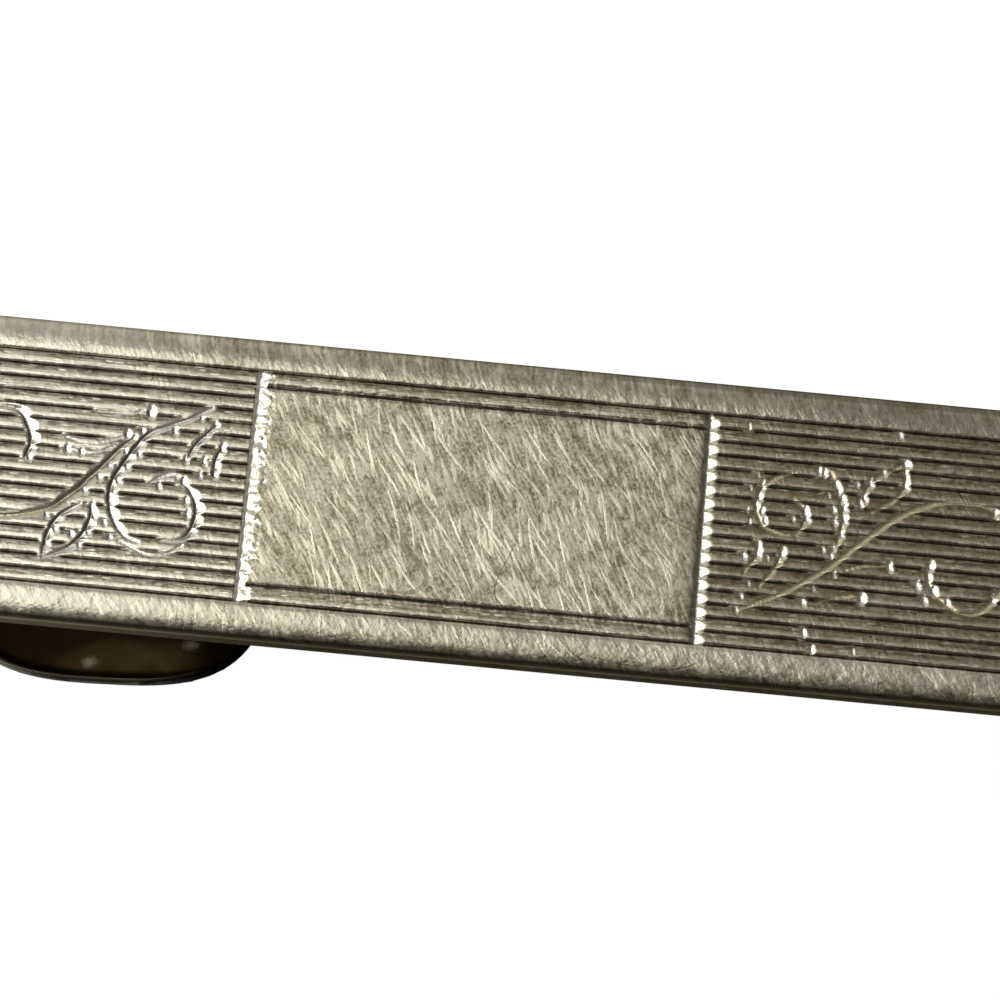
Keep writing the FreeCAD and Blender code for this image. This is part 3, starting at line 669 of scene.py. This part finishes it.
def graver_cut(graph, lines, x, y, swell):
    """How far each point lies inside a cut, its share of the steep side, and how far off the cut is."""
    source = graph.add("GeometryNodeObjectInfo", {"transform_space": "ORIGINAL"}, {"Object": lines})
    spacing = {"Curve": source.out("Geometry"), "Length": 0.015 * MM}
    even = graph.add("GeometryNodeResampleCurve", {"mode": "LENGTH"}, spacing)
    carried = {"Geometry": even, "Name": "half", "Value": graph.add("GeometryNodeInputRadius")}
    even = graph.add("GeometryNodeStoreNamedAttribute", {"data_type": "FLOAT", "domain": "POINT"}, carried)
    wires = graph.add("GeometryNodeCurveToMesh", None, {"Curve": even})
    flat = graph.vector(x, y, 0.0)
    target = {0: wires, "Sample Position": flat}
    near = graph.add("GeometryNodeProximity", {"target_element": "EDGES"}, target)
    target = {"Geometry": wires, "Sample Position": flat}
    closest = graph.add("GeometryNodeSampleNearest", {"domain": "POINT"}, target)
    half = graph.add("GeometryNodeInputNamedAttribute", {"data_type": "FLOAT"}, {"Name": "half"})
    sample = {"Geometry": wires, "Value": half, "Index": closest}
    half = graph.add("GeometryNodeSampleIndex", {"data_type": "FLOAT", "domain": "POINT"}, sample)
    away = near.out("Distance")
    near_x, _, _ = graph.parts(near.out("Position"))
    lean = (x - near_x) / (away + 0.001 * MM)
    inside = (half * swell - away / lean.step(-0.6, 0.6, 0.6, 1.5)).most(0.0)
    steep = (inside / (0.02 * MM)).least(1.0) * lean.step(-0.7, -0.1, 1.0, 0.0)
    return inside, steep, away


def engraving_tree():
    """Node tree of one stretch of the face: ridges, groove ends, the plain panel and the scroll cuts."""
    tree = bpy.data.node_groups.new("engraved_face", "GeometryNodeTree")
    tree.interface.new_socket("Geometry", in_out="OUTPUT", socket_type="NodeSocketGeometry")
    for kind, names in FACE_INPUTS.items():
        for name in names:
            tree.interface.new_socket(name, in_out="INPUT", socket_type=kind)
    graph = Graph(tree)
    entry = graph.add("NodeGroupInput")
    start, end, pitch, count = (entry.out(name) for name in ("Start", "End", "Ridge pitch", "Ridges"))
    panel, field = entry.out("Panel half length"), entry.out("Field half length")
    grid = graph.add(
        "GeometryNodeMeshGrid",
        None,
        {
            "Size X": end - start,
            "Size Y": count * pitch,
            "Vertices X": entry.out("Columns"),
            "Vertices Y": count * entry.out("Rows per ridge") + 1,
        },
    )
    x, y, _ = graph.parts(graph.add("GeometryNodeInputPosition"))
    x = x + (start + end) * 0.5
    rows = y / pitch + count * 0.5
    ridge = (rows + 0.0001).math("FLOOR")
    within = rows - ridge
    across = ridge + within - (within * (2 * math.pi)).math("SINE") * (0.62 / (2 * math.pi))
    y = (across - count * 0.5) * pitch
    along = abs(x)

    nearest = across.math("ROUND")
    runs_across = (nearest < 1.5).most(nearest > count - 1.5)
    ruled = runs_across.most(along > panel)
    low_line = (nearest < 1.5) * (nearest > 0.5) * entry.out("Low line shift")
    high_line = (nearest > count - 1.5) * (nearest < count - 0.5) * entry.out("High line shift")
    leaning = (low_line - high_line) * (along < panel) / pitch
    from_groove = abs(across - nearest - leaning) * pitch
    wander = mottle(graph, graph.vector(x / MM * 5.0, nearest * 5.3, 0.0), 1.0, 5.0, 0.75)
    beside_panel = (along < panel) * ((nearest < 0.5).most(nearest > count - 0.5)).step(0.0, 1.0, 0.8, 0.2)
    groove_half = entry.out("Groove width") * wander.step(0.25, 0.75, 0.28, 0.68) * (1 + beside_panel)
    groove = (1 - from_groove / groove_half).most(0.0) * ruled
    ridged = (abs(across - count * 0.5) > count * 0.5 - 1.0).most(along > panel)
    crown = (1 - from_groove / pitch * 2) ** 2 * entry.out("Ridge crown") * ridged

    lifted = across - entry.out("Flare lift") / pitch
    flare_row = lifted.math("ROUND")
    off_row = abs(lifted - flare_row) * pitch
    tip = 1 - (off_row / (entry.out("Flare width") * 0.5)) ** 4
    on_right = x > 0.0
    ragged = mottle(graph, graph.vector(x / MM, y / MM, 0.0), 7.0, 3.0, 0.5).step(0.3, 0.7, 0.5, 1.45)
    wall_width = on_right.step(0.0, 1.0, 0.27 * MM, 0.11 * MM) * ragged
    wall_floor = on_right.step(0.0, 1.0, 1.0, 0.72)
    flare_length = entry.out("Flare length") * on_right.step(0.0, 1.0, 0.28, 1.0)
    has_flare = flare_row < count - 0.5
    inner, outer = along - panel, field - along
    flares = None
    for outward in (inner, outer):
        rising = (tip * has_flare - outward / flare_length) * (outward > 0)
        seam = (0.5 - outward / (0.08 * MM)) * (outward > 0)
        wall = ((tip * has_flare).most(wall_floor) + outward / wall_width) * (outward < 0)
        flare = rising.most(seam).most(wall).most(0.0) * (across > 0.0) * (across < count)
        flares = flare if flares is None else flares.most(flare)

    swell = 0.82 + abs((across * math.pi).math("SINE")) * 0.24
    scroll, scroll_steep, off_scroll = graver_cut(graph, entry.out("Scroll lines"), x, y, swell)
    stem, stem_steep, off_stem = graver_cut(graph, entry.out("Stem lines"), x, y, 1.0)
    touch, touch_steep, off_touch = graver_cut(graph, entry.out("Touches"), x, y, 1.0)
    cuts = scroll.most(stem).most(touch) * entry.out("Scroll slope")
    groove = groove * off_stem.least(off_touch).step(0.07 * MM, 0.2 * MM, 0.25, 1.0)
    smoothed = off_scroll.step(0.05 * MM, 0.17 * MM, 0.35, 1.0).most(on_right)
    groove = groove * off_scroll.step(0.03 * MM, 0.12 * MM, 0.5, 1.0) * smoothed
    crown = crown * smoothed
    beside = off_stem.least(off_scroll).step(0.04 * MM, 0.3 * MM, 1.0, 0.0)
    depth = (groove * entry.out("Groove depth") + crown).most(flares * entry.out("Flare depth")).most(cuts)
    cut = (cuts / (0.015 * MM)).most(flares * 3.0).least(1.0)
    # The panel's right-hand wall faces away from the key lamp; the face's material paints shade on it.
    far_wall = (1.7 + inner / (0.15 * MM)).most(0.0).least(1.0) * (inner < 0.0) * on_right
    kept = {
        "groove": groove,
        "cut": cut,
        "stem": (stem / (0.015 * MM)).least(1.0),
        "touch": (touch / (0.015 * MM)).most(flares * 3.0).least(1.0),
        "beside": beside,
        "ridged": ridged,
        # steep: the steep side of each cut and the panel's right-hand wall, where the face's material
        # paints shade
        "steep": scroll_steep.most(stem_steep * 0.88).most(touch_steep).most(far_wall),
        "rise": across - ridge,
    }
    shape = grid
    for name, value in kept.items():
        shape = graph.add(
            "GeometryNodeStoreNamedAttribute",
            {"data_type": "FLOAT", "domain": "POINT"},
            {"Geometry": shape, "Name": name, "Value": value},
        )
    place = graph.vector(x, y, depth * -1)
    shape = graph.add("GeometryNodeSetPosition", None, {"Geometry": shape, "Position": place})
    shape = graph.add("GeometryNodeSetShadeSmooth", None, {"Geometry": shape})
    shape = graph.add("GeometryNodeRealizeInstances", None, {"Geometry": shape})
    finished = {"Geometry": shape, "Material": entry.out("Material")}
    shape = graph.add("GeometryNodeSetMaterial", None, finished)
    graph.add("NodeGroupOutput", None, {"Geometry": shape})
    return tree


def plain_mesh(holder):
    """Evaluated copy of an object's mesh, with the modifier removed."""
    bpy.context.view_layer.update()
    evaluated = holder.evaluated_get(bpy.context.evaluated_depsgraph_get())
    mesh = bpy.data.meshes.new_from_object(evaluated)
    holder.modifiers.clear()
    return mesh


def close_below(mesh, floor):
    """Turns an open sheet into a slab: walls down from its edge and one flat underside."""
    work = bmesh.new()
    work.from_mesh(mesh)
    rim = [edge for edge in work.edges if edge.is_boundary]
    for edge in rim:
        edge.smooth = False
    walls = bmesh.ops.extrude_edge_only(work, edges=rim)["geom"]
    lower = [item for item in walls if isinstance(item, bmesh.types.BMEdge) and item.is_boundary]
    for vertex in {vertex for edge in lower for vertex in edge.verts}:
        vertex.co.z = floor
    bmesh.ops.contextual_create(work, geom=lower)
    bmesh.ops.recalc_face_normals(work, faces=work.faces)
    for face in work.faces:
        face.smooth = face.normal.z > 0.2
    work.to_mesh(mesh)
    work.free()


class TIECLIP_OT_engraved_face(bpy.types.Operator):
    """Ridged fields, plain panel and scrolls of the bar's face"""

    bl_idname = "tieclip.engraved_face"
    bl_label = "Engraved face"

    def execute(self, context):
        sizes, finish = context.scene.tieclip_face, context.scene.tieclip_finish
        field_end = BAR_HIGH.x - sizes.end_border
        panel_end = sizes.panel_length / 2
        slab_floor = PLATE_HIGH.z + 0.02 * MM
        material = aged_metal(
            "engraved_silver",
            finish.silver,
            finish,
            angles=(-1.1, -1.32, -0.92),
            wear=1.0,
            roughness=0.34,
            layer=engraved_layer,
        )
        tree = engraving_tree()
        strokes = all_strokes()
        stems = [stroke for stroke in strokes if stroke[0].startswith("stem")]
        dots = [stroke for stroke in strokes if stroke[0] == "dot"]
        others = [stroke for stroke in strokes if stroke not in stems and stroke not in dots]
        lines = scroll_curves("scroll_lines", others)
        stem_lines = scroll_curves("stem_lines", stems)
        touches = scroll_curves("touches", dots)
        near, middle = panel_end + 0.5 * MM, 13.2 * MM
        stretches = (
            ("face_panel", -near, near, 400),
            ("face_right", near, middle, 358),
            ("face_left", -middle, -near, 358),
            ("face_right_end", middle, field_end, 270),
            ("face_left_end", -field_end, -middle, 270),
        )
        shared = {
            "Rows per ridge": 12,
            "Ridges": sizes.ridge_count,
            "Panel half length": panel_end,
            "Field half length": field_end,
            "Scroll lines": lines,
            "Stem lines": stem_lines,
            "Touches": touches,
            "Material": material,
        }
        for name in FACE_SIZES:
            shared[name] = getattr(sizes, name.lower().replace(" ", "_"))
        for name, start, end, columns in stretches:
            values = {**shared, "Start": start, "End": end, "Columns": columns}
            holder = new_object(name, bpy.data.meshes.new(name + "_start"))
            modifier = holder.modifiers.new("engraving", "NODES")
            modifier.node_group = tree
            for item in tree.interface.items_tree:
                if item.in_out == "INPUT":
                    modifier[item.identifier] = values[item.name]
            mesh = plain_mesh(holder)
            close_below(mesh, slab_floor)
            holder.data = mesh
            dress(holder, material, "bar", "engraved_silver", "face_shell")
        for guide in (lines, stem_lines, touches):
            bpy.data.objects.remove(guide)
        return {"FINISHED"}


def ring(half_x, half_y, radius, height, long_steps=150, short_steps=16, corner_steps=10):
    """Points of a level rounded rectangle, from the middle of one long side."""
    radius = max(radius, 0.02 * MM)
    points = []
    straight_x, straight_y = half_x - radius, half_y - radius
    sides = (
        ((-straight_x, -half_y), (straight_x, -half_y), long_steps, (straight_x, -straight_y), -90),
        ((half_x, -straight_y), (half_x, straight_y), short_steps, (straight_x, straight_y), 0),
        ((straight_x, half_y), (-straight_x, half_y), long_steps, (-straight_x, straight_y), 90),
        ((-half_x, straight_y), (-half_x, -straight_y), short_steps, (-straight_x, -straight_y), 180),
    )
    for start, end, steps, centre, turn in sides:
        for i in range(steps):
            share = i / steps
            x = start[0] + (end[0] - start[0]) * share
            y = start[1] + (end[1] - start[1]) * share
            points.append((x, y, height))
        for i in range(corner_steps):
            angle = math.radians(turn + 90 * i / corner_steps)
            x = centre[0] + radius * math.cos(angle)
            y = centre[1] + radius * math.sin(angle)
            points.append((x, y, height))
    return points


def rim_profile(border_x, border_y):
    """Section of the rim from the field's edge over the border, round the side and lip and back inside.

    Each entry is the inset along the bar, the inset across it, the corner's radius and the height.
    """
    corner, drop, back, lip = 0.9, 0.33, 0.3, 0.75
    bottom, plate_back, plate_front = (height / MM for height in (BAR_LOW.z, PLATE_LOW.z, PLATE_HIGH.z))
    section = []
    crest = 0.8
    for share, height in ((1.0, -0.066), (0.98, -0.045), (0.95, -0.024), (0.91, -0.01), (0.86, -0.003)):
        section.append((border_x / MM * share, border_y / MM * share, corner * (1 - share), height))
    for i in range(15):
        turn = math.radians(90 * i / 14)
        share = crest * (1 - math.sin(turn))
        height = -drop * (1 - math.cos(turn))
        section.append((border_x / MM * share, border_y / MM * share, corner * (1 - share), height))
    for share in (0.25, 0.5, 0.75):
        section.append((0, 0, corner, -drop + (bottom + back + drop) * share))
    for i in range(9):
        turn = math.radians(90 * i / 8)
        inset = back * (1 - math.cos(turn))
        section.append((inset, inset, corner - inset, bottom + back * (1 - math.sin(turn))))
    section += [(0.5, 0.5, 0.4, bottom), (0.69, 0.69, 0.25, bottom), (0.735, 0.735, 0.2, bottom + 0.02)]
    section += [(lip, lip, 0.18, bottom + 0.07), (lip, lip, 0.18, plate_back), (0.4, 0.4, 0.3, plate_back)]
    section += [(0.4, 0.4, 0.3, plate_front), (border_x / MM, border_y / MM, 0, plate_front + 0.02)]
    return [tuple(value * MM for value in entry) for entry in section]


class TIECLIP_OT_rolled_rim(bpy.types.Operator):
    """Plain border and rolled edge of the bar"""

    bl_idname = "tieclip.rolled_rim"
    bl_label = "Rolled rim"

    def execute(self, context):
        sizes, finish = context.scene.tieclip_face, context.scene.tieclip_finish
        border_y = BAR_HIGH.y - sizes.ridge_count * sizes.ridge_pitch / 2
        points, faces = [], []
        section = rim_profile(sizes.end_border, border_y)
        for inset_x, inset_y, radius, height in section:
            points += ring(BAR_HIGH.x - inset_x, BAR_HIGH.y - inset_y, radius, height)
        around = len(points) // len(section)
        for i in range(len(section)):
            row, below = i * around, (i + 1) % len(section) * around
            for k in range(around):
                ahead = (k + 1) % around
                faces.append((row + k, below + k, below + ahead, row + ahead))
        piece = mesh_object("bar_rim", points, faces)
        work = bmesh.new()
        work.from_mesh(piece.data)
        bmesh.ops.recalc_face_normals(work, faces=work.faces)
        work.to_mesh(piece.data)
        work.free()
        material = aged_metal(
            "border_silver",
            finish.silver,
            finish,
            angles=(-1.2, -1.5, -0.9),
            wear=0.65,
            roughness=0.31,
            edge=0.2,
            layer=dark_sides_layer,
        )
        dress(piece, material, "bar", "engraved_silver", "face_shell")
        return {"FINISHED"}


def softened_copy(name, node_name, radius, crisp_beyond=math.inf):
    """Copy of a CAD piece with its outer edges rounded, except beyond a place along the bar."""
    piece = new_object(name, frame["nodes"][node_name].data.copy())
    work = bmesh.new()
    work.from_mesh(piece.data)
    bmesh.ops.remove_doubles(work, verts=work.verts, dist=0.0005 * MM)
    bmesh.ops.dissolve_limit(work, angle_limit=math.radians(1), verts=work.verts, edges=work.edges)
    edges = []
    for edge in work.edges:
        outer = edge.is_convex and edge.calc_face_angle(0) > math.radians(40)
        if outer and max(vertex.co.x for vertex in edge.verts) < crisp_beyond:
            edges.append(edge)
    bmesh.ops.bevel(
        work, geom=edges, offset=radius, offset_type="OFFSET", segments=3, profile=0.5, affect="EDGES"
    )
    for face in work.faces:
        face.smooth = True
    for edge in work.edges:
        edge.smooth = edge.calc_face_angle(0) < math.radians(40)
    work.to_mesh(piece.data)
    work.free()
    piece.modifiers.new("flat_faces_first", "WEIGHTED_NORMAL").keep_sharp = True
    piece.data = plain_mesh(piece)
    return piece


class TIECLIP_OT_back(bpy.types.Operator):
    """Back plate, hinge bracket and rivets"""

    bl_idname = "tieclip.back"
    bl_label = "Back plate and bracket"

    def execute(self, context):
        finish = context.scene.tieclip_finish
        tint = times(finish.silver, 0.8, 0.78, 0.72)
        material = aged_metal("plain_silver", tint, finish, (0.1, 0.5), wear=0.7, roughness=0.38)
        pieces = {"plate_strip": "back_plate", "ears": "hinge_bracket", "rivet_heads": "bracket_rivets"}
        for name, node in pieces.items():
            dress(softened_copy(name, node, 0.06 * MM), material, "bar", "plain_silver", node)
        return {"FINISHED"}


class TIECLIP_OT_hinge(bpy.types.Operator):
    """Hinge pin and torsion spring"""

    bl_idname = "tieclip.hinge"
    bl_label = "Hinge pin and spring"

    def execute(self, context):
        finish = context.scene.tieclip_finish
        material = aged_metal("dull_steel", finish.steel, finish, (0.2, 1.2), wear=0.5, roughness=0.33)
        pin = softened_copy("peened_pin", "hinge_pin", 0.04 * MM)
        dress(pin, material, "bar", "pin_steel", "hinge_pin")
        node = frame["nodes"]["torsion_spring"]
        spring = new_object("spring_wire", node.data.copy())
        work = bmesh.new()
        work.from_mesh(spring.data)
        bmesh.ops.remove_doubles(work, verts=work.verts, dist=0.001 * MM)
        for face in work.faces:
            face.smooth = True
        work.to_mesh(spring.data)
        work.free()
        spring.data.materials.clear()
        spring.data.materials.append(material)
        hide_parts("torsion_spring")
        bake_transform(spring)
        return {"FINISHED"}


class TIECLIP_OT_jaw_lever(bpy.types.Operator):
    """Lever with the thumb plate and the jaw"""

    bl_idname = "tieclip.jaw_lever"
    bl_label = "Jaw lever"

    def execute(self, context):
        finish = context.scene.tieclip_finish
        material = aged_metal(
            "lever_silver",
            finish.lever,
            finish,
            angles=(0.15, 1.0),
            wear=0.12,
            roughness=0.3,
            edge=0.3,
            layer=thumb_layer,
        )
        piece = softened_copy("bent_lever", "jaw_lever", 0.06 * MM, 18 * MM)
        dress(piece, material, "lever", "lever_silver", "jaw_lever")
        return {"FINISHED"}


def lamp(name, place, aim, width, height, power, tint):
    """Area lamp that faces a point."""
    data = bpy.data.lights.new(name, "AREA")
    data.shape = "RECTANGLE"
    data.size = width
    data.size_y = height
    data.energy = power
    data.color = tint
    made = new_object(name, data)
    made.location = place
    made.rotation_euler = (Vector(aim) - Vector(place)).to_track_quat("-Z", "Y").to_euler()


def photo_camera(distance):
    """Camera nearly square to the face, from the lower side, with a slight roll."""
    yaw, tilt, roll = (math.radians(angle) for angle in (-0.55, 15.26, 5.26))
    turn = Matrix.Rotation(yaw, 3, "Y") @ Matrix.Rotation(tilt, 3, "X") @ Matrix.Rotation(roll, 3, "Z")
    aim = Vector((0.488, 0.179, 0)) * MM
    sensor = 36
    data = bpy.data.cameras.new("photo_camera")
    data.sensor_width = sensor
    data.lens = sensor * 3.874
    data.clip_start = 0.001
    data.clip_end = 50
    made = new_object("photo_camera", data)
    made.matrix_world = Matrix.Translation(aim + turn.col[2] * distance) @ turn.to_4x4()
    bpy.context.scene.camera = made


def lowest_reach():
    """Height of the lowest point that the lever comes to as it opens."""
    x, _, z = HINGE["pos_m"]
    turn = math.radians(HINGE["range_deg"][1])
    heights = [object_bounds()[0][2]]
    for vertex in frame["nodes"]["jaw_lever"].data.vertices:
        heights.append(z - (vertex.co.x - x) * math.sin(turn) + (vertex.co.z - z) * math.cos(turn))
    return min(heights)


def floor_white(tint):
    """Matt floor that is seen as white and takes a shadow, and is clear from below."""
    material = bpy.data.materials.new("floor_white")
    material.use_nodes = True
    graph = Graph(material.node_tree)
    path = graph.add("ShaderNodeLightPath")
    seen = path.out("Is Camera Ray").most(path.out("Is Glossy Ray"))
    seen = seen.most(path.out("Is Transmission Ray"))
    values = {
        "Base Color": graph.mix(seen * 0.85, tint, (0, 0, 0)),
        "Roughness": 1.0,
        "Specular IOR Level": 0.0,
        "Emission Color": graph.mix(seen, (0, 0, 0), (0.94, 0.94, 0.94)),
        "Emission Strength": 1.0,
    }
    matt = graph.add("ShaderNodeBsdfPrincipled", None, values)
    below = graph.add("ShaderNodeNewGeometry").out("Backfacing")
    clear = graph.add("ShaderNodeBsdfTransparent")
    surface = graph.add("ShaderNodeMixShader", None, {0: below, 1: matt, 2: clear})
    graph.add("ShaderNodeOutputMaterial", None, {"Surface": surface})
    return material


def room_light(tint):
    """Even light of the room: brighter at the left and low down, with an unlit patch in front."""
    world = bpy.data.worlds.new("room")
    world.use_nodes = True
    graph = Graph(world.node_tree)
    x, y, z = graph.parts(graph.add("ShaderNodeTexCoord").out("Generated"))
    unlit = y.step(-0.75, -0.4, 0.9, 0.0) * z.step(0.05, 0.2) * abs(x).step(0.35, 0.65, 1.0, 0.0)
    height, side = z.step(0.3, 0.8, 1.5, 1.0), x.step(-0.9, 0.9, 1.4, 0.7)
    level = height * side * (1 - unlit) * y.step(0.1, 0.7, 1.0, 1.25)
    sky = graph.add("ShaderNodeBackground", None, {"Color": (*tint, 1), "Strength": level})
    graph.add("ShaderNodeOutputWorld", None, {"Surface": sky})
    return world


class TIECLIP_OT_stage(bpy.types.Operator):
    """Floor, lamps and camera"""

    bl_idname = "tieclip.stage"
    bl_label = "Stage"

    def execute(self, context):
        stage = context.scene.tieclip_stage
        low = lowest_reach()
        half = 3.0
        corners = [(-half, -half, low), (half, -half, low), (half, half, low), (-half, half, low)]
        floor = mesh_object("floor", corners, [(0, 1, 2, 3)], smooth=False)
        floor.data.materials.append(floor_white(stage.floor))
        floor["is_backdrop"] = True
        context.scene.world = room_light(stage.sky)
        lamp("key_lamp", (-0.2, -0.04, 0.13), (0, 0, 0), 0.24, 0.12, stage.key_power, (1, 0.98, 0.93))
        over = (-0.13, -0.02, 0)
        lamp("top_lamp", (-0.13, -0.02, 0.25), over, 0.25, 0.25, stage.top_power, (1, 0.99, 0.96))
        photo_camera(stage.camera_distance)
        context.scene.view_settings.view_transform = "Standard"
        return {"FINISHED"}


class TIECLIP_PT_maker(bpy.types.Panel):
    """Lists the steps and sizes of the tie clip"""

    bl_idname = "TIECLIP_PT_maker"
    bl_label = "Tie clip"
    bl_space_type = "VIEW_3D"
    bl_region_type = "UI"
    bl_category = "Tie clip"

    def draw(self, context):
        for step in STEPS:
            self.layout.operator(step.bl_idname)
        for group in (getattr(context.scene, name) for name in GROUPS):
            box = self.layout.box()
            for name in group.bl_rna.properties.keys():
                if name not in ("rna_type", "name"):
                    box.prop(group, name)


STEPS = (
    TIECLIP_OT_engraved_face,
    TIECLIP_OT_rolled_rim,
    TIECLIP_OT_back,
    TIECLIP_OT_hinge,
    TIECLIP_OT_jaw_lever,
    TIECLIP_OT_stage,
)
GROUPS = {"tieclip_face": TieClipFace, "tieclip_finish": TieClipFinish, "tieclip_stage": TieClipStage}


def register():
    for name, group in GROUPS.items():
        bpy.utils.register_class(group)
        setattr(bpy.types.Scene, name, PointerProperty(type=group))
    for item in (*STEPS, TIECLIP_PT_maker):
        bpy.utils.register_class(item)


def unregister():
    for item in (TIECLIP_PT_maker, *reversed(STEPS)):
        bpy.utils.unregister_class(item)
    for name, group in GROUPS.items():
        delattr(bpy.types.Scene, name)
        bpy.utils.unregister_class(group)


def main():
    register()
    bpy.ops.tieclip.engraved_face()
    bpy.ops.tieclip.rolled_rim()
    bpy.ops.tieclip.back()
    bpy.ops.tieclip.hinge()
    bpy.ops.tieclip.jaw_lever()
    bpy.ops.tieclip.stage()


if __name__ == "__main__":
    main()
